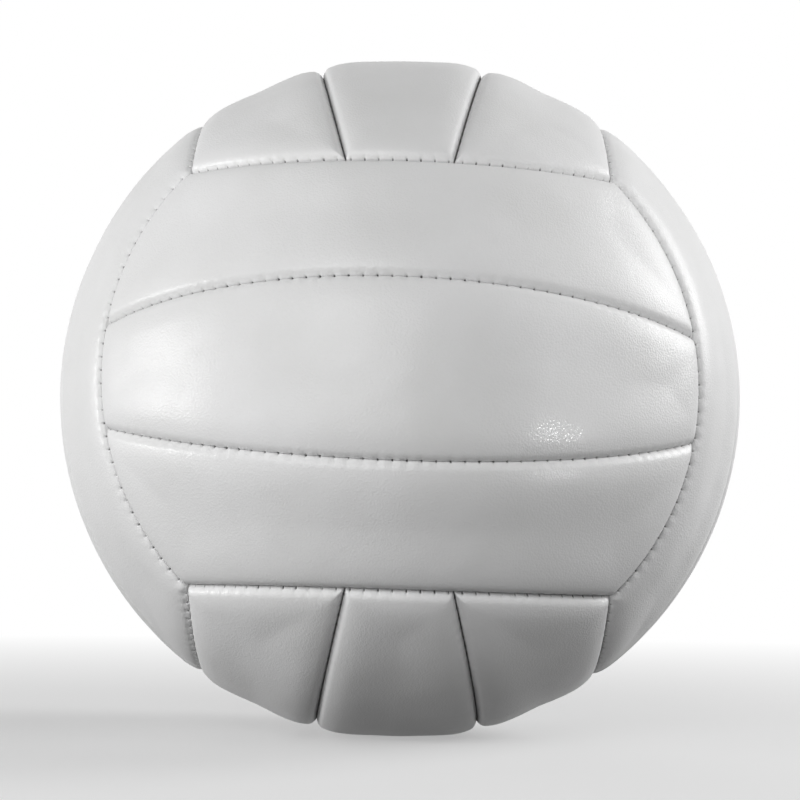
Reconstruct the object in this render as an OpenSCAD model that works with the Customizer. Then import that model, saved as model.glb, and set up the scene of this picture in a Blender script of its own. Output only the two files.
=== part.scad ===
// Volleyball, 18 sewn panels over a bladder
// The origin is the ball's centre, +Z is up and the face shown in front is on -Y.
// Six faces of three strips wrap the ball, and the strips of faces that meet run square to each other.

/* [Ball] */
// Diameter over the crowns of the panels
ball_d = 210; // [190:1:220]
// Lean of each face's two inner seams from its middle plane, in degrees
inner_lean = 13.9; // [12:0.1:16]

/* [Cover] */
// Thickness of the panels' synthetic leather
skin_t = 0.9; // [0.6:0.1:1.1]
// Outer radius of the edges where a panel rolls over into its seam
roll_r = 3; // [2.6:0.1:4]
// Slit between two panels' turned-in edges
seam_gap = 0.2; // [0.1:0.05:0.3]

/* [Padding] */
// Thickness of the foam and cloth behind each panel
pad_t = 3.5; // [3.2:0.1:5]
// Room between one layer and the next
layer_gap = 0.2; // [0.15:0.05:0.3]

/* [Stitching] */
// Thickness of the sewing thread
thread_d = 0.7; // [0.4:0.1:0.8]
// Distance from a seam's corner to the last stitch
thread_end = 4; // [3.5:0.1:8]

/* [Bladder] */
// Wall of the rubber bladder
bladder_t = 0.8; // [0.6:0.1:1.5]
// Diameter of the patch that stiffens the bladder round its valve
patch_d = 36; // [30:1:44]
// Thickness of the patch
patch_t = 0.7; // [0.5:0.1:1.2]

/* [Valve] */
// Diameter of the valve's stem
stem_d = 9; // [8.5:0.1:11]
// Length of the stem, from its face inwards
stem_len = 18; // [16:0.5:22]
// How far the valve's face lies below the cover
valve_recess = 0.7; // [0.3:0.1:1.2]
// Room round the stem in the layers that it passes
stem_gap = 0.25; // [0.15:0.05:0.4]
// Diameter of the valve's flange, inside the bladder
flange_d = 24; // [18:1:28]
// Thickness of the flange at its rim
flange_t = 1.3; // [1:0.1:2]
// Diameter of the soft core that seals round the needle
core_d = 6; // [5:0.1:7]
// Room between the core and the stem
core_gap = 0.1; // [0.05:0.05:0.15]
// Rubber left under the core
core_floor = 1.5; // [1:0.1:2.5]
// Diameter of the channel that takes an inflating needle
needle_d = 2.3; // [1.8:0.1:2.6]
// Depth of the channel
needle_len = 12; // [8:0.5:13]
// Width of the lead-in at the channel's mouth
lead_in_d = 3.6; // [3:0.1:4.5]

/* [Hidden] */
$fn = 96;
// A cube's edges on a ball lie at this latitude about the axis that they circle.
edge_lat = asin(1 / sqrt(3));
// Angle along an outer seam from its middle to a corner
edge_half = 45;
// Angle along an inner seam from its middle to its end
inner_half = acos(sin(edge_lat) / cos(inner_lean));
// Angle along an outer seam from its middle to the inner seams that end on it
tee_angle = asin(tan(inner_lean) * tan(edge_lat));
// Angle at which a rolled edge leaves the crown
crease = 12;
ball_r = ball_d / 2;
// Cuts run past the ball by this
overrun = ball_r / 4;
far = ball_r + overrun;
// Seam cuts stop at this radius, short of the centre where they would all meet.
near = ball_r / 2;
// Radius that the padding and the turned-in edges reach inwards
lining_r = ball_r - skin_t - layer_gap - pad_t;
bladder_r = lining_r - layer_gap;
bladder_in_r = bladder_r - bladder_t;
patch_r = bladder_in_r - layer_gap;
flange_r = patch_r - patch_t - layer_gap;
valve_face = ball_r - valve_recess;
// The thread lies on the inner side of each turned-in edge, just above its end.
thread_r = lining_r + layer_gap + thread_d / 2;
thread_off = seam_gap / 2 + skin_t + layer_gap + thread_d / 2;
pad_inset = thread_off + thread_d / 2 + layer_gap;
// A layer is its crown's radius, the radius of its rolled edges and its distance from the seams.
SKIN_OUTSIDE = [ball_r, roll_r, seam_gap / 2];
SKIN_INSIDE = [ball_r - skin_t, roll_r - skin_t, seam_gap / 2 + skin_t];
PAD_OUTSIDE = [ball_r - skin_t - layer_gap, roll_r + seam_gap / 2 - pad_inset, pad_inset];
// Each face has its name, its turn about the cube's diagonal, its turn to the far side,
// its strips in order and the two faces beside its outer strips.
FACES = [
    ["top", 0, [0, 0, 0], ["left", "middle", "right"], ["left", "right"]],
    ["bottom", 0, [180, 0, 0], ["left", "middle", "right"], ["left", "right"]],
    ["back", -120, [0, 0, 0], ["lower", "middle", "upper"], ["bottom", "top"]],
    ["front", -120, [0, 0, 180], ["lower", "middle", "upper"], ["bottom", "top"]],
    ["right", 120, [0, 0, 0], ["front", "middle", "rear"], ["front", "back"]],
    ["left", 120, [0, 180, 0], ["front", "middle", "rear"], ["front", "back"]]
];
VALVE_FACE = FACES[2];
MIDDLE = 1;
function strip_name(kind, face, strip) = str(kind, "_", face[0], "_", face[3][strip]);
function outer_seam_name(face, side) = str("stitching_", face[0], "_", face[4][side]);
function inner_seam_name(face) = str("stitching_", face[0], "_inner");

// Moves what is drawn for the top face to the given face
module on_face(face) {
    rotate(face[2]) rotate(a = face[1], v = [1, 1, 1]) children();
}

// A ball whose poles lie on Y, clear of the top face
module round_ball(radius) {
    rotate([90, 0, 0]) sphere(r = radius);
}

// Height above the ball's centre at which a layer's rolled edge has its own centre
function roll_height(layer) = let (
    to_centre = pow(layer[0], 2) + pow(layer[1], 2) - 2 * layer[0] * layer[1] * cos(crease)
) sqrt(to_centre - pow(layer[1] + layer[2], 2));

// Section through a seam, with the seam on the X axis: all that the layer below it gives up
module seam_section(layer) {
    roll_x = roll_height(layer);
    roll_y = -layer[1] - layer[2];
    translate([-2 * far, -layer[2]]) square([4 * far, 2 * far]);
    difference() {
        translate([roll_x, roll_y]) square([2 * far, layer[1] + overrun]);
        translate([roll_x, roll_y]) circle(r = layer[1]);
    }
}

// Trims a layer along the seam that circles Z at a latitude, and rolls the edge that is left.
// The layer lies below the seam, or above it where is_above is true.
module seam_cutter(latitude, layer, is_above = false) {
    rotate_extrude() intersection() {
        difference() {
            translate([0, -far]) square([far, 2 * far]);
            circle(r = near);
        }
        rotate(latitude) mirror([0, is_above ? 1 : 0]) seam_section(layer);
    }
}

// Turns a seam about Z into the top face's outer seam on +X
module to_outer_seam() {
    rotate([0, 90, 0]) children();
}

// Turns a seam about Z into the top face's inner seam nearer +X
module to_inner_seam() {
    rotate([0, 90 + inner_lean, 0]) children();
}

// Turns what lies on the top face's +X side to its -X side, where side is below zero
module on_side(side) {
    rotate([0, 0, side < 0 ? 180 : 0]) children();
}

// One strip of the top face down to a radius: the middle one, or the one on +X
module strip_form(layer, low_r, is_middle) {
    difference() {
        round_ball(layer[0]);
        round_ball(low_r);
        seam_cutter(edge_lat, layer, true);
        if (is_middle) {
            for (side = [-1, 1]) on_side(side) to_inner_seam() seam_cutter(0, layer);
        } else {
            to_inner_seam() seam_cutter(0, layer, true);
            to_outer_seam() seam_cutter(edge_lat, layer);
        }
    }
}

module stem_hole() {
    cylinder(d = stem_d + 2 * stem_gap, h = far);
}

// Synthetic leather panel, with its edges rolled over and turned in at the seams
module panel(face, strip) {
    color([0.93, 0.93, 0.92]) on_face(face) on_side(strip - MIDDLE) difference() {
        strip_form(SKIN_OUTSIDE, lining_r, strip == MIDDLE);
        strip_form(SKIN_INSIDE, lining_r - skin_t, strip == MIDDLE);
        if (face == VALVE_FACE && strip == MIDDLE) stem_hole();
    }
}

// Foam and cloth that back a panel
module padding(face, strip) {
    color([0.86, 0.84, 0.78]) on_face(face) on_side(strip - MIDDLE) difference() {
        strip_form(PAD_OUTSIDE, lining_r, strip == MIDDLE);
        if (face == VALVE_FACE && strip == MIDDLE) stem_hole();
    }
}

// One stretch of thread beside a seam that circles Z, between two angles from its middle
module thread(latitude, from, to, side) {
    rotate_extrude(angle = to - from, start = 180 + from) {
        rotate(latitude) translate([thread_r, side * thread_off]) circle(d = thread_d);
    }
}

// The two lines of thread through an outer seam. On the far side of the seam three strips end,
// so the thread there has a stretch for each.
module outer_stitching(face, side) {
    end = thread_end / (ball_r * cos(edge_lat)) * 180 / PI;
    color([0.8, 0.79, 0.75]) on_face(face) on_side(2 * side - 1) to_outer_seam() {
        thread(edge_lat, end - edge_half, edge_half - end, -1);
        thread(edge_lat, end - edge_half, -tee_angle - end, 1);
        thread(edge_lat, end - tee_angle, tee_angle - end, 1);
        thread(edge_lat, tee_angle + end, edge_half - end, 1);
    }
}

// The lines of thread through both inner seams of a face
module inner_stitching(face) {
    end = thread_end / ball_r * 180 / PI;
    color([0.8, 0.79, 0.75]) on_face(face) {
        for (seam = [-1, 1]) on_side(seam) to_inner_seam() {
            for (side = [-1, 1]) thread(0, end - inner_half, inner_half - end, side);
        }
    }
}

// Rubber bladder, open only where the valve passes
module bladder() {
    color([0.12, 0.12, 0.13]) on_face(VALVE_FACE) difference() {
        round_ball(bladder_r);
        round_ball(bladder_in_r);
        stem_hole();
    }
}

// Rubber patch inside the bladder, round the valve
module valve_patch() {
    color([0.2, 0.2, 0.21]) on_face(VALVE_FACE) difference() {
        intersection() {
            round_ball(patch_r);
            cylinder(d = patch_d, h = far);
        }
        round_ball(patch_r - patch_t);
        stem_hole();
    }
}

// Moulded rubber stem and flange, hollow for the core
module valve_housing() {
    rim_z = sqrt(pow(flange_r, 2) - pow(flange_d / 2, 2));
    color([0.1, 0.1, 0.1]) on_face(VALVE_FACE) difference() {
        union() {
            translate([0, 0, valve_face - stem_len]) cylinder(d = stem_d, h = stem_len);
            translate([0, 0, rim_z - flange_t]) cylinder(d = flange_d, h = flange_t);
        }
        translate([0, 0, valve_face - stem_len + core_floor]) cylinder(d = core_d, h = stem_len);
    }
}

// Soft plug inside the stem, with the channel for the needle
module valve_core() {
    core_z = valve_face - stem_len + core_floor + core_gap;
    lead_in = (lead_in_d - needle_d) / 2;
    color([0.16, 0.16, 0.17]) on_face(VALVE_FACE) difference() {
        translate([0, 0, core_z]) cylinder(d = core_d - 2 * core_gap, h = valve_face - core_z);
        translate([0, 0, valve_face - needle_len]) cylinder(d = needle_d, h = needle_len + overrun);
        translate([0, 0, valve_face - lead_in]) cylinder(d1 = needle_d, d2 = lead_in_d, h = lead_in);
    }
}

for (face = FACES) for (strip = [0:2]) {
    panel(face, strip);
    padding(face, strip);
}
for (face = FACES) for (side = [0:1]) {
    outer_stitching(face, side);
}
for (face = FACES) {
    inner_stitching(face);
}
bladder();
valve_patch();
valve_housing();
valve_core();
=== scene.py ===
import math
from collections import namedtuple

import bmesh
import bpy
import numpy as np
from mathutils import Matrix, Vector


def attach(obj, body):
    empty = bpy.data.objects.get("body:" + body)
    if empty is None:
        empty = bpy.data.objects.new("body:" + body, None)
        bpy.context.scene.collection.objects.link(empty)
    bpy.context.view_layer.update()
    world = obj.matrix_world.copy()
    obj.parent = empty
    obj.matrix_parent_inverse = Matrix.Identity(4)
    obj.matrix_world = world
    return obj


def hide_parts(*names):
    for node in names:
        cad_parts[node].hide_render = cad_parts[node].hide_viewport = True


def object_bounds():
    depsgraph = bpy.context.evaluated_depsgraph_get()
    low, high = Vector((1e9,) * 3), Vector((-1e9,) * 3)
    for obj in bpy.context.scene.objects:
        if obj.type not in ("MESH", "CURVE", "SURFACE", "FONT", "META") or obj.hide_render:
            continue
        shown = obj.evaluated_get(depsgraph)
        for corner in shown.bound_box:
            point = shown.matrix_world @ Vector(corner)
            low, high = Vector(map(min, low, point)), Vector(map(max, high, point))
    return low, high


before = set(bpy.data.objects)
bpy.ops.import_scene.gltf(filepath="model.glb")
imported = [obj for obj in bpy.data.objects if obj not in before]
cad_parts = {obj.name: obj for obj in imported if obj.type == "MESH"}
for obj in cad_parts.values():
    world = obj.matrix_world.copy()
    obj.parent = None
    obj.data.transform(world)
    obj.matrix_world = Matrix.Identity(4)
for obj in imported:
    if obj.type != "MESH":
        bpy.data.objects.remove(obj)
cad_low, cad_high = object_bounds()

# An indoor volleyball. The cover's 18 panels, their foam and the seams' thread are made here, and the
# bladder and the valve get their materials. Each panel is made in the top face's place and then turned to
# its own.

# Sizes, in metres, with angles in radians. The seams between faces meet at the corners of a cube, and
# those within a face lean from its middle plane.
MM = 0.001
BALL_R = (cad_high[2] - cad_low[2]) / 2
EDGE_LAT = math.asin(1 / math.sqrt(3))
INNER_LEAN = math.radians(13.9)
SKIN_T = 0.9 * MM
COVER_T = 4.6 * MM
LINING_R = BALL_R - COVER_T
SEAM_SLIT = 0.06 * MM
STITCH_PITCH = 3.9 * MM

# The cover's section: a roll at the seam, a shoulder behind it and a slightly flat crown. The seams
# within a face are pulled in deep, but for the front face's, which are shallow. Those between faces are
# less deep, and least on the side faces' edges. A roll has its width, its slope at the seam, and how dark
# its seam is painted, part dirt and part painted shade in the groove.
Roll = namedtuple("Roll", "width slope grime")
DEEP_ROLL = Roll(2.5 * MM, math.radians(87), 0.85)
EDGE_ROLL = Roll(2.5 * MM, math.radians(67), 0.35)
FRONT_EDGE_ROLL = Roll(3.8 * MM, math.radians(67), 0.35)
FRONT_INNER_ROLL = Roll(2.4 * MM, math.radians(52), 0.15)
SIDE_EDGE_ROLL = Roll(1.8 * MM, math.radians(34), 0.2)
ROLL_MERGE = 3
GRIME_AND_SHADE_W = 0.4 * MM
SHOULDER_DROP = 1.25 * MM
FRONT_SHOULDER_DROP = 0.9 * MM
FRONT_EDGES = (FRONT_INNER_ROLL, FRONT_EDGE_ROLL, FRONT_SHOULDER_DROP)
SIDE_EDGES = (DEEP_ROLL, SIDE_EDGE_ROLL, SHOULDER_DROP)
OTHER_EDGES = (DEEP_ROLL, EDGE_ROLL, SHOULDER_DROP)
FACE_EDGES = {"front": FRONT_EDGES, "left": SIDE_EDGES, "right": SIDE_EDGES}
SHOULDER_W = 8 * MM
SHOULDER_POWER = 2.6
CROWN_DROP = 0.75 * MM
CROWN_FROM = 6 * MM
CROWN_TO = 21 * MM
CORNER_SOFT = 0.45 * MM

# The photographed ball is a little out of true. Its front half turns by these degrees about the axes
# across, along and up, a row for each, for each unit of place across, along and up. The turn fades in
# towards the front.
OUT_OF_TRUE = np.radians([[1.2, 0.1, 0.7], [0.5, -0.3, -0.1], [0.7, 0.1, -0.9]])
TRUE_FROM = 0.45
TRUE_OVER = 0.6

# What the needle does to a panel's edge. How far a hole gapes is drawn between a share and all of the
# widest. A pucker is this deep on average, and the deepest are this many times as deep.
INNER_NEEDLE_IN = 0.1 * MM
OUTER_NEEDLE_IN = 0.35 * MM
NEEDLE_W = 0.31 * MM
NEEDLE_DEPTH = 0.8 * MM
PUCKER = 0.07 * MM
PUCKER_REACH = 1.7 * MM
DEEPEST_PUCKER = 2
FAINTEST_HOLE = 0.5
HOLES_DRAWN = 61

# Unevenness of the stretched leather, from waves of random direction and length
UNEVEN = 0.05 * MM
UNEVEN_FROM = 2.5 * MM
UNEVEN_LONGEST = 45 * MM
UNEVEN_SHORTEST = 9 * MM
UNEVEN_WAVES = 24

# Mesh of the skin: how far its rings lie from the seam, the step over its middle, and how many finer
# steps its border has to each of those
SKIN_INSETS = [inset * MM for inset in (
    0.06, 0.12, 0.22, 0.34, 0.47, 0.6, 0.73, 0.88, 1.1, 1.4, 1.8, 2.2, 2.7, 3.4)]
SKIN_STEP = 1.35 * MM
SKIN_FINE = 6

# The skin's edge is turned in beside the seam: how far below the crown its free side ends, and its bend
FLANGE_TOP_DROP = 3.4 * MM
FLANGE_TOP_R = BALL_R - FLANGE_TOP_DROP
FLANGE_BEND = 1.2 * MM

# Foam under the cover
PAD_INSETS = [inset * MM for inset in (2.1, 2.25, 2.6, 3.2)]
PAD_STEP = 2.4 * MM
PAD_FINE = 1
PAD_GAP = 0.15 * MM
PAD_EDGE = 0.7 * MM
PAD_HOLE_R = 5 * MM

# Valve, at the middle of the back face. A panel's grid leaves out a block round it, of this half width.
# Rings lead from the block to the hole, at these shares of the way.
VALVE_PANEL = ("back", "middle")
VALVE_HOLE_R = 4.75 * MM
VALVE_BLOCK = 8.5 * MM
VALVE_RISE_FROM = 7 * MM
VALVE_RISE_TO = 18 * MM
VALVE_RIM = 0.35 * MM
RING_SHARES = (0.2, 0.4, 0.58, 0.73, 0.85, 0.93, 0.975, 1.0)

# Thread. Its middle lies equally far from the lining and from the turned-in edges. At each needle hole it
# dips towards the seam by a share of the way.
THREAD_R = 0.3 * MM
THREAD_CLEAR = 0.55 * MM
THREAD_LEVEL = LINING_R + THREAD_CLEAR
THREAD_OFF = SEAM_SLIT + SKIN_T + THREAD_CLEAR
THREAD_END = 4 * MM
THREAD_STEP = 0.35 * MM
THREAD_SIDES = 6
THREAD_DIP_W = 0.45 * MM
THREAD_DIP_SHARE = 0.8

# Camera, fitted to the photograph. Its lens and sensor are in millimetres, and its view in pixels.
CAMERA_DISTANCE = 6 * BALL_R
CAMERA_ELEVATION = math.radians(-4.56)
CAMERA_ROLL = math.radians(-0.58)
CAMERA_LENS = 90.5
SENSOR_WIDTH = 36
CLIP_NEAR = 0.01
CLIP_FAR = 50
VIEW_SIDE = 800
VIEW_CENTRE_Y = 398.7

# The one body of the frame, and the seed of the random draws
ROOT = "root"
SEED = 7
rng = np.random.default_rng(SEED)


def make_camera():
    """Looks at the ball from just below its middle, as the photograph does."""
    data = bpy.data.cameras.new("camera")
    data.lens = CAMERA_LENS
    data.sensor_width = SENSOR_WIDTH
    data.shift_y = (VIEW_CENTRE_Y - VIEW_SIDE / 2) / VIEW_SIDE
    data.clip_start = CLIP_NEAR
    data.clip_end = CLIP_FAR
    camera = bpy.data.objects.new("camera", data)
    bpy.context.scene.collection.objects.link(camera)
    forward = Vector((0, math.cos(CAMERA_ELEVATION), -math.sin(CAMERA_ELEVATION)))
    right = Vector((1, 0, 0))
    turn = Matrix.Rotation(CAMERA_ROLL, 3, forward)
    axes = (turn @ right, turn @ right.cross(forward), -forward)
    matrix = Matrix(axes).transposed().to_4x4()
    matrix.translation = -CAMERA_DISTANCE * forward
    camera.matrix_world = matrix
    bpy.context.scene.camera = camera


# Faces of the ball


def turn_about(axis, degrees):
    return np.array(Matrix.Rotation(math.radians(degrees), 3, Vector(axis)))


DIAGONAL = (1, 1, 1)
TO_BACK = turn_about(DIAGONAL, -120)
TO_RIGHT = turn_about(DIAGONAL, 120)
HALF_TURN = turn_about((0, 0, 1), 180)
ACROSS = ("left", "middle", "right")
UPWARD = ("lower", "middle", "upper")
REARWARD = ("front", "middle", "rear")
# A face has its turn from the top face's place, its strips in order, and the neighbours across the seams
# that belong to it.
FACES = {
    "top": (np.eye(3), ACROSS, ("left", "right")),
    "bottom": (turn_about((1, 0, 0), 180), ACROSS, ("left", "right")),
    "back": (TO_BACK, UPWARD, ("bottom", "top")),
    "front": (HALF_TURN @ TO_BACK, UPWARD, ("bottom", "top")),
    "right": (TO_RIGHT, REARWARD, ("front", "back")),
    "left": (turn_about((0, 1, 0), 180) @ TO_RIGHT, REARWARD, ("front", "back")),
}

# A seam is a circle on a ball of radius 1: its axis, which points away from the panel, and its latitude.
# The middle strip lies between two inner seams. The outer strip is made on +X and turned for -X.
Seam = namedtuple("Seam", "axis latitude")
INNER_AXIS = np.array([math.cos(INNER_LEAN), 0, -math.sin(INNER_LEAN)])
MIRROR_X = np.array([-1, 1, 1])
MIDDLE_SEAMS = (Seam(INNER_AXIS * MIRROR_X, 0.0), Seam(INNER_AXIS, 0.0))
OUTER_SEAMS = (Seam(-INNER_AXIS, 0.0), Seam(np.array([1.0, 0, 0]), EDGE_LAT))
END_AXIS = np.array([0, 0, 1.0])
ALONG_AXIS = np.array([0, 1, 0])


def smooth_step(x):
    x = np.clip(x, 0, 1)
    return x * x * (3 - 2 * x)


def unit(points):
    return points / np.linalg.norm(points, axis=-1, keepdims=True)


def out_of_true(points):
    """Points of the ball, turned by what the photographed ball is out of true."""
    radius = np.linalg.norm(points, axis=1, keepdims=True)
    where = points / radius
    turn = where @ OUT_OF_TRUE.T * smooth_step((TRUE_FROM - where[:, 1:2]) / TRUE_OVER)
    return unit(where + np.cross(turn, where)) * radius


def seam_outward(axis):
    """Direction in a side seam's plane from its circle's centre to its middle."""
    across = np.array([-axis[2], 0, axis[0]])
    return across if across[2] > 0 else -across


def seam_ring(axis, angle):
    """Directions in a side seam's plane, from its circle's centre, by their angle from its middle."""
    return np.cos(angle)[:, None] * seam_outward(axis) + np.sin(angle)[:, None] * ALONG_AXIS


def end_height(inset):
    return math.sin(EDGE_LAT + inset / BALL_R)


def corner_angle(seam, inset):
    """Angle along a side seam from its middle to the strip's end."""
    latitude = seam.latitude - inset / BALL_R
    rise = end_height(inset) - math.sin(latitude) * seam.axis[2]
    return math.acos(rise / (math.cos(latitude) * seam_outward(seam.axis)[2]))


def along_side(seam, inset, share):
    """Directions on a side seam, from one end at share -1 to the other at 1."""
    latitude = seam.latitude - inset / BALL_R
    ring = seam_ring(seam.axis, share * corner_angle(seam, inset))
    return math.sin(latitude) * seam.axis + math.cos(latitude) * ring


def along_end(seams, inset, share, sign):
    """Directions on a strip's end, from the first side seam at share 0 to the second at 1."""
    corners = [along_side(seam, inset, np.array([1.0]))[0] for seam in seams]
    first, last = (math.atan2(p[0], p[1]) for p in corners)
    angle = first + share * (last - first)
    height = end_height(inset)
    width = math.sqrt(1 - height**2)
    rise = np.full_like(angle, height)
    return np.stack([width * np.sin(angle), sign * width * np.cos(angle), rise], 1)


def patch(seams, inset, across, along):
    """Grid of directions that fills a strip between its seams."""
    low, high = (along_side(seam, inset, along) for seam in seams)
    start, end = (along_end(seams, inset, across, sign) for sign in (-1, 1))
    u = across[:, None, None]
    t = ((along + 1) / 2)[None, :, None]
    sides = (1 - u) * low[None] + u * high[None]
    ends = (1 - t) * start[:, None] + t * end[:, None]
    corners = (1 - t) * ((1 - u) * low[0] + u * high[0]) + t * ((1 - u) * low[-1] + u * high[-1])
    return unit(sides + ends - corners)


def border(seams, inset, across, along):
    """Directions round a strip's border, in the order of border_cells."""
    return np.concatenate([
        along_side(seams[0], inset, along[:-1]),
        along_end(seams, inset, across[:-1], 1),
        along_side(seams[1], inset, along[:0:-1]),
        along_end(seams, inset, across[:0:-1], -1),
    ])


def border_cells(grid):
    """The border of a grid of vertex numbers or directions, walked round once."""
    return np.concatenate([grid[0, :-1], grid[:-1, -1], grid[-1, :0:-1], grid[:0:-1, 0]])


# Points seen from a seam: their distance from it, their place along it and whether it is within the face
Place = namedtuple("Place", "apart along is_inner")


def seam_places(seams, where):
    """A place from each of a strip's seams for directions on the ball."""
    found = []
    for axis, latitude in seams:
        height = np.clip(where @ axis, -1, 1)
        angle = np.arctan2(where[:, 1], where @ seam_outward(axis))
        apart = BALL_R * (latitude - np.arcsin(height))
        found.append(Place(apart, BALL_R * math.cos(latitude) * angle, latitude == 0))
    height = np.clip(where @ END_AXIS, -1, 1)
    angle = np.arctan2(where[:, 0], np.abs(where[:, 1]))
    apart = BALL_R * (np.arcsin(height) - EDGE_LAT)
    found.append(Place(apart, BALL_R * math.cos(EDGE_LAT) * angle, False))
    return found


# The cover's surface


def wave_set():
    """Random plane waves over the ball: how fast each turns along X, Y and Z, and where it starts."""
    lengths = np.exp(rng.uniform(math.log(UNEVEN_SHORTEST), math.log(UNEVEN_LONGEST), UNEVEN_WAVES))
    turns = unit(rng.normal(size=(UNEVEN_WAVES, 3))) * (2 * math.pi * BALL_R / lengths)[:, None]
    return turns, rng.uniform(0, 2 * math.pi, UNEVEN_WAVES)


def waves(where, chosen):
    """The sum of a set of waves, mostly between -1 and 1."""
    turns, starts = chosen
    return np.sin(where @ turns.T + starts).sum(1) / math.sqrt(UNEVEN_WAVES)


def bell(x, width):
    return np.exp(-((x / width) ** 2))


def from_border(places):
    """Distance from the nearest seam, rounded where two seams meet."""
    near = sum(np.exp(-np.clip(place.apart, 0, None) / CORNER_SOFT) for place in places)
    return np.clip(-CORNER_SOFT * np.log(near), 0, None)


def arc_drop(radius, short):
    """How far an arc has fallen from its top, at this distance beside it."""
    return radius - np.sqrt(radius**2 - short**2)


def roll_at(strip, place):
    return strip.inner_roll if place.is_inner else strip.edge_roll


def rolled_edge(strip, places):
    """Depth of the arc with which the cover turns down to its seams."""
    total = 0
    for place in places:
        roll = roll_at(strip, place)
        radius = roll.width / math.sin(roll.slope)
        short = roll.width - np.clip(place.apart, 0, roll.width)
        total = total + arc_drop(radius, short) ** ROLL_MERGE
    return total ** (1 / ROLL_MERGE)


def shoulder_and_crown(strip, distance):
    shoulder = strip.shoulder * np.clip(1 - distance / SHOULDER_W, 0, 1) ** SHOULDER_POWER
    crown = CROWN_DROP * smooth_step((distance - CROWN_FROM) / (CROWN_TO - CROWN_FROM))
    return shoulder + crown


def stitch_count(along):
    """Places along a seam in stitches. A seam's middle is halfway between two needle holes."""
    return along / STITCH_PITCH - 0.5


def off_needle(count):
    """Distance along a seam from the nearest needle hole."""
    return (count - np.round(count)) * STITCH_PITCH


def needle_marks(strip, places, strength):
    """Depth of the needle holes and puckers, and how much of a point lies in a hole, where the hole's
    shade is painted.
    """
    depth = 0
    inside = 0
    for place in places:
        count = stitch_count(place.along)
        needle_in = INNER_NEEDLE_IN if place.is_inner else OUTER_NEEDLE_IN
        gape = strip.holes[np.round(count).astype(int) % HOLES_DRAWN]
        hole = gape * bell(off_needle(count), NEEDLE_W) * bell(place.apart - needle_in, NEEDLE_W)
        puckers = np.cos(2 * math.pi * count) * bell(place.apart, PUCKER_REACH)
        depth = depth + NEEDLE_DEPTH * hole + PUCKER * strength * puckers
        inside = np.maximum(inside, hole)
    return depth, inside


def from_valve(where):
    """Distance over the ball from the valve's middle."""
    return BALL_R * np.arccos(np.clip(where[:, 2], -1, 1))


def valve_rise(where):
    """Share of the crown's flatness that the valve leaves, from none at the valve to all."""
    return smooth_step((from_valve(where) - VALVE_RISE_FROM) / (VALVE_RISE_TO - VALVE_RISE_FROM))


def grime_and_shade_share(strip, places):
    """How much of the seam's darkening, part dirt and part painted shade, lies at a point."""
    share = 0
    for place in places:
        near = np.clip(1 - place.apart / GRIME_AND_SHADE_W, 0, 1)
        share = np.maximum(share, roll_at(strip, place).grime * near)
    return share


def plain_cover(strip, where):
    """Radius of the puffed cover, distance from a seam, and the place from each seam."""
    places = seam_places(strip.seams, where)
    distance = from_border(places)
    drop = rolled_edge(strip, places) + shoulder_and_crown(strip, distance)
    flatness = valve_rise(where) if strip.has_valve else 1
    return BALL_R - drop * flatness, distance, places


def worked_cover(strip, where):
    """Radius of the finished outside, and each point's share of the seam's dirt and painted shade and of
    a needle hole, whose shade is painted.
    """
    radius, distance, places = plain_cover(strip, where)
    uneven = UNEVEN * waves(where, strip.uneven) * smooth_step((distance - UNEVEN_FROM) / SHOULDER_W)
    strength = np.clip(1 + waves(where, strip.puckers), 0, DEEPEST_PUCKER)
    depth, needle = needle_marks(strip, places, strength)
    return np.minimum(radius - uneven, BALL_R) - depth, grime_and_shade_share(strip, places), needle


# Meshes


# A strip's seams, its rolls and shoulder, whether the valve is in it, its two sets of waves and how far
# its needle holes gape
Strip = namedtuple("Strip", "seams inner_roll edge_roll shoulder has_valve uneven puckers holes")

# What a layer of a strip is made from: the strip's seams, the step over its middle and how many finer
# steps its border has to each, the insets of its outer rings, its walls, its underside and the radius of
# the valve's hole in it. A wall is an inset and a radius, and the underside an inset and a function for
# the radius.
Shape = namedtuple("Shape", "seams step fine insets walls underside hole_r")

# A side of a layer: its grid of directions, the grid's vertex numbers and a function for the radius
Side = namedtuple("Side", "grid ids radius")


class Shell:
    """Collects the points, faces and point marks of a mesh."""

    def __init__(self):
        self.points = []
        self.faces = []
        self.marks = []
        self.count = 0

    def add(self, points, grime=0.0, needle=0.0):
        """Takes points in and gives their numbers."""
        first = self.count
        self.count += len(points)
        self.points.append(points)
        marks = np.broadcast_arrays(grime, needle, points[:, 0])[:2]
        self.marks.append(np.stack(marks, 1))
        return first + np.arange(len(points))

    def join(self, ring, other):
        """Faces between two closed rings. The second may have one point for several of the first's."""
        ratio = len(ring) // len(other)
        for k in range(len(other)):
            edge = [ring[(k * ratio + i) % len(ring)] for i in range(ratio + 1)]
            self.faces.append(edge + [other[(k + 1) % len(other)], other[k]])

    def fill(self, ids, between, block):
        """Faces of a grid but for a block. Border cells take in the finer points of their edges."""
        rows, columns = ids.shape
        for i in range(rows - 1):
            for j in range(columns - 1):
                if block and block[0] <= i < block[1] and block[2] <= j < block[3]:
                    continue
                walk = (ids[i, j], ids[i, j + 1], ids[i + 1, j + 1], ids[i + 1, j])
                face = []
                for a, b in zip(walk, walk[1:] + walk[:1]):
                    face.append(a)
                    face.extend(between.get((a, b), ()))
                self.faces.append(face)


def shares(low, high, length, step, fine):
    """Shares from low to high in an even number of coarse steps, and the same with each split fine."""
    coarse = np.linspace(low, high, 2 * round(length / step / 2) + 1)
    parts = np.arange(fine) / fine
    split = (coarse[:-1, None] + parts * np.diff(coarse)[:, None]).ravel()
    return coarse, np.append(split, high)


def strip_shares(seams, step, fine):
    """Coarse and fine shares across a strip, and the same along it."""
    length = 2 * BALL_R * corner_angle(seams[0], 0)
    corners = [along_side(seam, 0, np.array([0.0]))[0] for seam in seams]
    width = BALL_R * math.acos(corners[0] @ corners[1])
    return shares(0, 1, width, step, fine), shares(-1, 1, length, step, fine)


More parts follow.
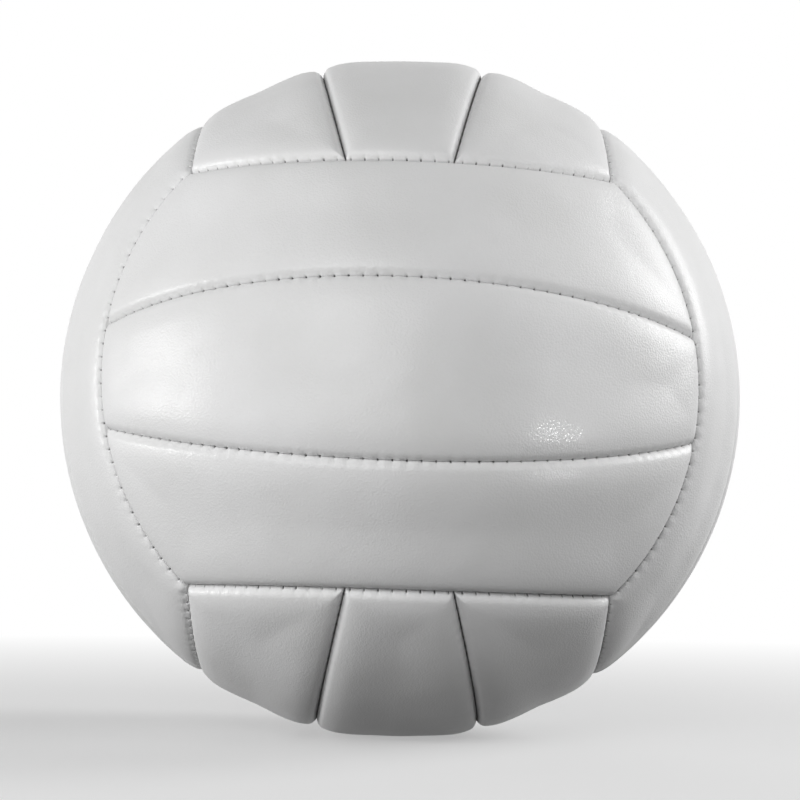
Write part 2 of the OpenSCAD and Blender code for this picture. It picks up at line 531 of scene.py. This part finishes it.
def block_round_valve(grid):
    """Cells of a grid that lie in a square round the valve, as first and last rows and columns."""
    rows = np.where(np.abs(grid[:, grid.shape[1] // 2, 0]) * BALL_R < VALVE_BLOCK)[0]
    columns = np.where(np.abs(grid[grid.shape[0] // 2, :, 1]) * BALL_R < VALVE_BLOCK)[0]
    return rows[0], rows[-1], columns[0], columns[-1]


def hole_rings(loop, hole_r):
    """Rings of directions that lead from a square loop to the valve's hole."""
    angle = np.arctan2(loop[:, 1], loop[:, 0])
    circle = np.stack([np.cos(angle), np.sin(angle)], 1) * math.sin(hole_r / BALL_R)
    rings = []
    for share in RING_SHARES:
        flat = loop[:, :2] * (1 - share) + circle * share
        rings.append(np.column_stack([flat, np.sqrt(1 - (flat**2).sum(1))]))
    return rings


def add_outside(shell, where, outside):
    """Adds the points of a layer's outside in these directions and gives their numbers."""
    radius, grime, needle = outside(where)
    return shell.add(where * radius[:, None], grime, needle)


def grid_ids(shell, grid, ring, fine, outside):
    """Vertex numbers of a grid over a panel's middle, whose border takes the ring's coarse points."""
    ids = np.full(grid.shape[:2], -1)
    inner = grid[1:-1, 1:-1]
    ids[1:-1, 1:-1] = add_outside(shell, inner.reshape(-1, 3), outside).reshape(inner.shape[:2])
    corner = ring[::fine]
    rows, columns = ids.shape
    sides = np.cumsum([0, columns - 1, rows - 1, columns - 1, rows - 1])
    ids[0, :-1] = corner[sides[0]:sides[1]]
    ids[:-1, -1] = corner[sides[1]:sides[2]]
    ids[-1, :0:-1] = corner[sides[2]:sides[3]]
    ids[:0:-1, 0] = corner[sides[3]:sides[4]]
    return ids


def finer_points(ring, fine):
    """The points of a ring that lie between each two of its coarse ones, either way round."""
    between = {}
    for k in range(0, len(ring), fine):
        a = ring[k]
        b = ring[(k + fine) % len(ring)]
        between[a, b] = list(ring[k + 1:k + fine])
        between[b, a] = between[a, b][::-1]
    return between


def layer(shape, outside):
    """A closed layer of a panel: its outside, the wall round it and its underside."""
    seams, step, fine, insets, walls, underside, hole_r = shape
    (across, fine_across), (along, fine_along) = strip_shares(seams, step, fine)
    shell = Shell()
    rings = []
    for inset in insets:
        rings.append(add_outside(shell, border(seams, inset, fine_across, fine_along), outside))
    for ring, following in zip(rings, rings[1:]):
        shell.join(ring, following)
    inset, radius = walls[0]
    foot = shell.add(border(seams, inset, fine_across, fine_along) * radius)
    shell.join(foot, rings[0])

    grid = patch(seams, insets[-1], across, along)
    ids = grid_ids(shell, grid, rings[-1], fine, outside)
    block = block_round_valve(grid) if hole_r else None
    shell.fill(ids, finer_points(rings[-1], fine), block)

    previous = foot
    for inset, radius in walls[1:]:
        ring = shell.add(border(seams, inset, across, along) * radius)
        shell.join(previous, ring)
        previous = ring
    under_inset, under_radius = underside
    under_grid = patch(seams, under_inset, across, along)
    flat = under_grid.reshape(-1, 3)
    under_ids = shell.add(flat * under_radius(flat)[:, None]).reshape(ids.shape)
    shell.join(previous, border_cells(under_ids))
    shell.fill(under_ids, {}, block)
    if hole_r:
        outer = Side(grid, ids, lambda where: outside(where)[0])
        bore(shell, outer, Side(under_grid, under_ids, under_radius), block, hole_r)
    return shell


def bore(shell, outer, under, block, hole_r):
    """The valve's hole through a layer, with a rounded rim. The underside takes every second ring."""
    first_row, last_row, first_column, last_column = block
    part = np.s_[first_row:last_row + 1, first_column:last_column + 1]
    previous = border_cells(outer.ids[part])
    for where in hole_rings(border_cells(outer.grid[part]), hole_r):
        short = np.clip(VALVE_RIM - (from_valve(where) - hole_r), 0, VALVE_RIM)
        radius = outer.radius(where) - arc_drop(VALVE_RIM, short)
        ring = shell.add(where * radius[:, None])
        shell.join(previous, ring)
        previous = ring
    for where in hole_rings(border_cells(under.grid[part]), hole_r)[::-2]:
        ring = shell.add(where * under.radius(where)[:, None])
        shell.join(previous, ring)
        previous = ring
    shell.join(previous, border_cells(under.ids[part]))


def new_piece(name, shell, turn, material):
    """A mesh object of a shell that was made in the top face's place."""
    mesh = bpy.data.meshes.new(name)
    points = out_of_true(np.concatenate(shell.points) @ turn.T)
    mesh.from_pydata(points.tolist(), [], [[int(v) for v in face] for face in shell.faces])
    # The marks say where the cover is painted darker: the seams with dirt and painted shade, the needle
    # holes with painted shade.
    for key, value in zip(("grime", "needle"), np.concatenate(shell.marks).T):
        attribute = mesh.attributes.new(key, "FLOAT", "POINT")
        attribute.data.foreach_set("value", value)
    shape = bmesh.new()
    shape.from_mesh(mesh)
    bmesh.ops.recalc_face_normals(shape, faces=shape.faces)
    shape.to_mesh(mesh)
    shape.free()
    mesh.polygons.foreach_set("use_smooth", [True] * len(mesh.polygons))
    mesh.update()
    mesh.materials.append(material)
    piece = bpy.data.objects.new(name, mesh)
    bpy.context.scene.collection.objects.link(piece)
    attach(piece, ROOT)
    return piece


def make_cover(leather, foam):
    """The 18 panels, each a leather skin with its foam behind it."""
    for face, (turn, names, _) in FACES.items():
        for name in names:
            seams = MIDDLE_SEAMS if name == "middle" else OUTER_SEAMS
            panel_turn = turn @ HALF_TURN if name == names[0] else turn
            edges = FACE_EDGES.get(face, OTHER_EDGES)
            holes = rng.uniform(FAINTEST_HOLE, 1, HOLES_DRAWN)
            has_valve = (face, name) == VALVE_PANEL
            strip = Strip(seams, *edges, has_valve, wave_set(), wave_set(), holes)
            skin = new_piece(f"cover_{face}_{name}", make_skin(strip), panel_turn, leather)
            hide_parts(f"panel_{face}_{name}")
            pad = new_piece(f"foam_{face}_{name}", make_pad(strip), panel_turn, foam)
            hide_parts(f"padding_{face}_{name}")


def make_skin(strip):
    """The leather, puffed outside, turned in at the seams and open beneath."""
    def beneath(where):
        return plain_cover(strip, where)[0] - SKIN_T

    inner = SEAM_SLIT + SKIN_T
    walls = [(SEAM_SLIT, LINING_R), (inner, LINING_R), (inner, FLANGE_TOP_R)]
    underside = (inner + FLANGE_BEND, beneath)
    hole = VALVE_HOLE_R if strip.has_valve else None
    shape = Shape(strip.seams, SKIN_STEP, SKIN_FINE, SKIN_INSETS, walls, underside, hole)
    return layer(shape, lambda where: worked_cover(strip, where))


def make_pad(strip):
    """The foam between the leather and the bladder."""
    def outside(where):
        radius, distance, _ = plain_cover(strip, where)
        short = np.clip(PAD_EDGE - (distance - PAD_INSETS[0]), 0, PAD_EDGE)
        return radius - SKIN_T - PAD_GAP - arc_drop(PAD_EDGE, short), 0.0, 0.0

    def beneath(where):
        return np.full(len(where), LINING_R + PAD_GAP)

    walls = [(PAD_INSETS[0], LINING_R + PAD_GAP + PAD_EDGE / 2)]
    underside = (PAD_INSETS[0] + PAD_EDGE / 2, beneath)
    hole = PAD_HOLE_R if strip.has_valve else None
    return layer(Shape(strip.seams, PAD_STEP, PAD_FINE, PAD_INSETS, walls, underside, hole), outside)


# Thread


def thread_path(seam, start, end, side):
    """Directions along a line of stitches, which dips through the turned-in edge at each needle hole."""
    reach = BALL_R * math.cos(seam.latitude)
    angle = np.linspace(start, end, round((end - start) * reach / THREAD_STEP))
    off = off_needle(stitch_count(angle * reach))
    aside = THREAD_OFF * (1 - THREAD_DIP_SHARE * bell(off, THREAD_DIP_W))
    tilt = (seam.latitude + side * aside / BALL_R)[:, None]
    return np.sin(tilt) * seam.axis + np.cos(tilt) * seam_ring(seam.axis, angle)


def thread_line(shell, seam, start, end, side):
    """A line of stitches beside a seam: a closed tube along its path."""
    where = thread_path(seam, start, end, side)
    path = where * THREAD_LEVEL
    across = unit(np.cross(unit(np.gradient(path, axis=0)), where))
    lines = []
    for k in range(THREAD_SIDES):
        bend = 2 * math.pi * k / THREAD_SIDES
        lines.append(shell.add(path + THREAD_R * (math.cos(bend) * across + math.sin(bend) * where)))
    for line, following in zip(lines, lines[1:] + lines[:1]):
        shell.faces.extend(np.column_stack([line[:-1], line[1:], following[1:], following[:-1]]))
    shell.faces.append([line[0] for line in lines])
    shell.faces.append([line[-1] for line in lines])


def inner_thread():
    """Both inner seams of a face, each with a line of stitches on either side."""
    shell = Shell()
    span = corner_angle(MIDDLE_SEAMS[0], 0) - THREAD_END / BALL_R
    for seam in MIDDLE_SEAMS:
        for side in (-1, 1):
            thread_line(shell, seam, -span, span, side)
    return shell


def outer_thread():
    """The seam on a face's +X side. On its far side three strips end, and each has its own line."""
    shell = Shell()
    seam = OUTER_SEAMS[1]
    span = corner_angle(seam, 0)
    margin = THREAD_END / (BALL_R * math.cos(seam.latitude))
    tee = math.asin(math.tan(EDGE_LAT) * math.tan(INNER_LEAN))
    thread_line(shell, seam, margin - span, span - margin, -1)
    for start, end in ((-span, -tee), (-tee, tee), (tee, span)):
        thread_line(shell, seam, start + margin, end - margin, 1)
    return shell


def make_threads(material):
    """Each face has the thread of its inner seams and of the outer seams that belong to it."""
    for face, (turn, _, neighbours) in FACES.items():
        piece = new_piece(f"thread_{face}_inner", inner_thread(), turn, material)
        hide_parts(f"stitching_{face}_inner")
        for neighbour, seam_turn in zip(neighbours, (turn @ HALF_TURN, turn)):
            piece = new_piece(f"thread_{face}_{neighbour}", outer_thread(), seam_turn, material)
            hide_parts(f"stitching_{face}_{neighbour}")


# Materials

# A tone is a colour. A noise has its scale for each metre, its detail, roughness and distortion. A ramp
# has the two values that it takes to 0 and 1, or to the two that follow. A bump has its depth and
# strength.
Noise = namedtuple("Noise", "scale detail roughness distortion", defaults=(2.0, 0.5, 0.0))
Bump = namedtuple("Bump", "depth strength")

LEATHER_TONES = ((0.80, 0.80, 0.797, 1), (0.85, 0.85, 0.852, 1))
LEATHER_BLOTCHES = Noise(28, 3)
BLOTCH_RAMP = (0.35, 0.7)
SMUDGE_TONE = (0.6, 0.6, 0.59, 1)
SMUDGES = Noise(60, 4, 0.6, 0.4)
SMUDGE_RAMP = (0.62, 0.8)
SMUDGE_SHARE = 0.1
# Dark tone of the seams, part dirt and part painted shade in the groove
GRIME_AND_SHADE_TONE = (0.1, 0.1, 0.1, 1)
# Painted shade in the needle holes
HOLE_SHADE_TONE = (0.06, 0.06, 0.06, 1)
HOLE_SHADE_RAMP = (0.25, 0.7, 0.0, 0.95)
PEBBLE_SCALE = 1700
PEBBLE_ROUGHNESS_RAMP = (0.1, 0.7, 0.33, 0.45)
WRINKLES = Noise(900, 3, 0.6, 1.2)
WRINKLE_SHARE = 0.5
LEATHER_BUMP = Bump(0.13 * MM, 0.45)
LEATHER_SPECULAR = 0.26
COAT_GRAIN_SCALE = 1400
COAT_BUMP = Bump(0.16 * MM, 0.36)
COAT_WEIGHT = 0.14
COAT_ROUGHNESS = 0.13

THREAD_TONES = ((0.52, 0.52, 0.5, 1), (0.78, 0.78, 0.76, 1))
THREAD_TWIST = Noise(2200)
THREAD_BUMP = Bump(0.05 * MM, 0.4)
THREAD_ROUGHNESS = 0.7

VALVE_GREY = 0.022
BLADDER_GREY = 0.03
PATCH_GREY = 0.045
RUBBER_TINTS = ((1, 1, 1.04), (1.7, 1.7, 1.75))
RUBBER_BLOOM = Noise(180, 3)
RUBBER_GRAIN = Noise(900)
RUBBER_ROUGHNESS_RAMP = (0.3, 0.7, 0.45, 0.62)
RUBBER_PITS = Noise(1500)
RUBBER_BUMP = Bump(0.04 * MM, 0.25)

FOAM_TONES = ((0.62, 0.6, 0.53, 1), (0.8, 0.78, 0.71, 1))
FOAM_CELL_SCALE = 900
FOAM_BUMP = Bump(0.1 * MM, 0.4)
FOAM_ROUGHNESS = 0.9


class Nodes:
    """Short calls for a material's node tree."""

    def __init__(self, name):
        self.material = bpy.data.materials.new(name)
        self.material.use_nodes = True
        self.tree = self.material.node_tree
        self.shader = self.tree.nodes["Principled BSDF"]
        self.place = self.add("ShaderNodeTexCoord").outputs["Object"]

    def add(self, kind, **settings):
        node = self.tree.nodes.new(kind)
        for key, value in settings.items():
            setattr(node, key, value)
        return node

    def link(self, a, b):
        self.tree.links.new(a, b)

    def put(self, socket, value):
        if isinstance(value, bpy.types.NodeSocket):
            self.link(value, socket)
        else:
            socket.default_value = value

    def shade(self, socket, value):
        """Gives one of the shader's own inputs a value or a link."""
        self.put(self.shader.inputs[socket], value)

    def mark(self, name):
        """What the mesh says at each point, such as its share of the seam's dirt and painted shade."""
        return self.add("ShaderNodeAttribute", attribute_name=name).outputs["Fac"]

    def noise(self, kind):
        node = self.add("ShaderNodeTexNoise")
        self.link(self.place, node.inputs["Vector"])
        for key, value in zip(("Scale", "Detail", "Roughness", "Distortion"), kind):
            node.inputs[key].default_value = value
        return node.outputs["Fac"]

    def cells(self, scale):
        node = self.add("ShaderNodeTexVoronoi")
        self.link(self.place, node.inputs["Vector"])
        node.inputs["Scale"].default_value = scale
        return node.outputs["Distance"]

    def math(self, operation, a, b):
        node = self.add("ShaderNodeMath", operation=operation)
        self.put(node.inputs[0], a)
        self.put(node.inputs[1], b)
        return node.outputs[0]

    def ramp(self, value, low, high, to_low=0.0, to_high=1.0):
        node = self.add("ShaderNodeMapRange")
        self.link(value, node.inputs["Value"])
        limits = {"From Min": low, "From Max": high, "To Min": to_low, "To Max": to_high}
        for key, number in limits.items():
            node.inputs[key].default_value = number
        return node.outputs["Result"]

    def mix(self, share, a, b):
        node = self.add("ShaderNodeMix", data_type="RGBA")
        self.put(node.inputs["Factor"], share)
        self.put(node.inputs["A"], a)
        self.put(node.inputs["B"], b)
        return node.outputs["Result"]

    def bump(self, height, kind, socket="Normal"):
        node = self.add("ShaderNodeBump")
        self.link(height, node.inputs["Height"])
        node.inputs["Distance"].default_value = kind.depth
        node.inputs["Strength"].default_value = kind.strength
        self.shade(socket, node.outputs["Normal"])


def cover_material():
    """White synthetic leather: a fine pebble, a satin sheen, faint marks of handling, dirt and painted
    shade in the seams, and painted shade in the needle holes.
    """
    n = Nodes("cover_leather")
    tint = n.mix(n.ramp(n.noise(LEATHER_BLOTCHES), *BLOTCH_RAMP), *LEATHER_TONES)
    smudge = n.ramp(n.noise(SMUDGES), *SMUDGE_RAMP)
    tint = n.mix(n.math("MULTIPLY", smudge, SMUDGE_SHARE), tint, SMUDGE_TONE)
    # Dirt and painted shade darken the seams.
    tint = n.mix(n.mark("grime"), tint, GRIME_AND_SHADE_TONE)
    # Painted shade darkens the needle holes.
    tint = n.mix(n.ramp(n.mark("needle"), *HOLE_SHADE_RAMP), tint, HOLE_SHADE_TONE)
    n.shade("Base Color", tint)
    pebble = n.cells(PEBBLE_SCALE)
    n.shade("Roughness", n.ramp(pebble, *PEBBLE_ROUGHNESS_RAMP))
    wrinkle = n.math("MULTIPLY", n.noise(WRINKLES), WRINKLE_SHARE)
    n.bump(n.math("ADD", pebble, wrinkle), LEATHER_BUMP)
    n.bump(n.cells(COAT_GRAIN_SCALE), COAT_BUMP, "Coat Normal")
    n.shade("Specular IOR Level", LEATHER_SPECULAR)
    n.shade("Coat Weight", COAT_WEIGHT)
    n.shade("Coat Roughness", COAT_ROUGHNESS)
    return n.material


def thread_material():
    """Pale spun thread."""
    n = Nodes("sewing_thread")
    twist = n.noise(THREAD_TWIST)
    n.shade("Base Color", n.mix(twist, *THREAD_TONES))
    n.bump(twist, THREAD_BUMP)
    n.shade("Roughness", THREAD_ROUGHNESS)
    return n.material


def rubber_material(name, grey):
    """Dark rubber with a paler bloom."""
    n = Nodes(name)
    tones = [[grey * share for share in tint] + [1] for tint in RUBBER_TINTS]
    n.shade("Base Color", n.mix(n.noise(RUBBER_BLOOM), *tones))
    n.shade("Roughness", n.ramp(n.noise(RUBBER_GRAIN), *RUBBER_ROUGHNESS_RAMP))
    n.bump(n.noise(RUBBER_PITS), RUBBER_BUMP)
    return n.material


def foam_material():
    """Pale foam with fine cells."""
    n = Nodes("backing_foam")
    cell = n.cells(FOAM_CELL_SCALE)
    n.shade("Base Color", n.mix(cell, *FOAM_TONES))
    n.bump(cell, FOAM_BUMP)
    n.shade("Roughness", FOAM_ROUGHNESS)
    return n.material


def dress_cad_nodes(materials):
    """The nodes that stay as they are get their finish."""
    for name, material in materials.items():
        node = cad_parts[name]
        node.data.materials.clear()
        node.data.materials.append(material)


# Stage

# The floor's colour where it is seen, and in the light that it throws on the ball. Where it is seen it
# fades to white between two distances from its middle, from a share of white near the ball.
FLOOR_SIDE = 6.0
FLOOR_PALE = (0.8, 0.8, 0.8, 1)
FLOOR_BOUNCE = (0.08, 0.08, 0.08, 1)
FLOOR_ROUGHNESS = 0.9
FADE_FROM = 0.15
FADE_TO = 0.8
FADE_NEAR_SHARE = 0.4

# The world's strength in the light that it throws on the ball
WORLD_LEVEL = 0.02

# The soft boxes, all at one distance. Each has its azimuth, from the camera's side round to the right,
# its elevation, width, height and power.
LAMP_DISTANCE = 1.3
LAMPS = {
    "front_box": (-16, 12, 0.8, 0.8, 7.9),
    "left_box": (-75, 3, 0.6, 0.3, 6.9),
    "left_rear_box": (-88, 2, 0.5, 0.3, 1.8),
    "right_front_box": (50, 20, 0.6, 0.6, 2.6),
    "right_box": (95, 16, 0.5, 0.6, 4.5),
    "right_rear_box": (106, 26, 0.5, 0.8, 6.8),
    "back_box": (180, 8, 0.6, 0.6, 5),
}

# A small low lamp that shows in the gloss alone makes the sparkle on the front face. It has its azimuth,
# elevation and distance, those of the place that it lights, and its power, cone and size.
GLINT_PLACE = (46.6, -10.8, 0.44)
GLINT_LIT = (28, -5.3, BALL_R)
GLINT_POWER = 2.3
GLINT_CONE = math.radians(11)
GLINT_R = 12 * MM


def seen_ray(tree):
    """1 for the rays that show the background: the camera's own and those in gloss or through glass."""
    path = tree.nodes.new("ShaderNodeLightPath")
    seen = path.outputs["Is Camera Ray"]
    for kind in ("Is Glossy Ray", "Is Transmission Ray"):
        either = tree.nodes.new("ShaderNodeMath")
        either.operation = "MAXIMUM"
        tree.links.new(seen, either.inputs[0])
        tree.links.new(path.outputs[kind], either.inputs[1])
        seen = either.outputs[0]
    return seen


def make_floor():
    """A pale floor that fades to white further off and keeps the ball's shadow."""
    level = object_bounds()[0][2]
    corners = [(x * FLOOR_SIDE, y * FLOOR_SIDE, level) for x, y in ((-1, -1), (1, -1), (1, 1), (-1, 1))]
    mesh = bpy.data.meshes.new("floor")
    mesh.from_pydata(corners, [], [(0, 1, 2, 3)])
    floor = bpy.data.objects.new("floor", mesh)
    bpy.context.scene.collection.objects.link(floor)
    n = Nodes("floor_paint")
    seen = seen_ray(n.tree)
    n.shade("Base Color", n.mix(seen, FLOOR_BOUNCE, FLOOR_PALE))
    n.shade("Roughness", FLOOR_ROUGHNESS)
    n.shade("Specular IOR Level", 0)
    distance = n.add("ShaderNodeVectorMath", operation="LENGTH")
    n.link(n.place, distance.inputs[0])
    white_share = n.ramp(distance.outputs["Value"], FADE_FROM, FADE_TO, FADE_NEAR_SHARE, 1.0)
    white = n.add("ShaderNodeEmission")
    blend = n.add("ShaderNodeMixShader")
    n.link(n.math("MULTIPLY", white_share, seen), blend.inputs[0])
    n.link(n.shader.outputs[0], blend.inputs[1])
    n.link(white.outputs[0], blend.inputs[2])
    n.link(blend.outputs[0], n.tree.nodes["Material Output"].inputs["Surface"])
    mesh.materials.append(n.material)


def make_world():
    """White where it is seen, and a weak even light on the ball."""
    world = bpy.data.worlds.new("studio")
    bpy.context.scene.world = world
    world.use_nodes = True
    tree = world.node_tree
    back = tree.nodes["Background"]
    level = tree.nodes.new("ShaderNodeMapRange")
    level.inputs["To Min"].default_value = WORLD_LEVEL
    level.inputs["To Max"].default_value = 1.0
    tree.links.new(seen_ray(tree), level.inputs["Value"])
    tree.links.new(level.outputs["Result"], back.inputs["Strength"])
    back.inputs["Color"].default_value = (1, 1, 1, 1)


def point_at(azimuth, elevation, distance):
    """A point round the ball, from its azimuth and elevation in degrees and its distance."""
    a = math.radians(azimuth)
    e = math.radians(elevation)
    return distance * Vector((math.sin(a) * math.cos(e), -math.cos(a) * math.cos(e), math.sin(e)))


def place_lamp(data, location, target):
    """A lamp that faces its target."""
    lamp = bpy.data.objects.new(data.name, data)
    bpy.context.scene.collection.objects.link(lamp)
    lamp.location = location
    lamp.rotation_mode = "QUATERNION"
    lamp.rotation_quaternion = (location - target).to_track_quat("Z", "Y")
    return lamp


def make_lamps():
    """The soft boxes and the small lamp of the sparkle."""
    centre = Vector()
    for name, (azimuth, elevation, width, height, power) in LAMPS.items():
        data = bpy.data.lights.new(name, "AREA")
        data.shape = "ELLIPSE"
        data.size = width
        data.size_y = height
        data.energy = power
        place_lamp(data, point_at(azimuth, elevation, LAMP_DISTANCE), centre)
    glint = bpy.data.lights.new("glint", "SPOT")
    glint.energy = GLINT_POWER
    glint.spot_size = GLINT_CONE
    glint.spot_blend = 1
    glint.shadow_soft_size = GLINT_R
    lamp = place_lamp(glint, point_at(*GLINT_PLACE), point_at(*GLINT_LIT))
    lamp.visible_diffuse = False


make_camera()
make_cover(cover_material(), foam_material())
make_threads(thread_material())
valve_rubber = rubber_material("valve_rubber", VALVE_GREY)
dress_cad_nodes({
    "bladder": rubber_material("bladder_rubber", BLADDER_GREY),
    "valve_patch": rubber_material("patch_rubber", PATCH_GREY),
    "valve_housing": valve_rubber,
    "valve_core": valve_rubber,
})
make_floor()
make_world()
make_lamps()
bpy.context.scene.view_settings.view_transform = "Standard"
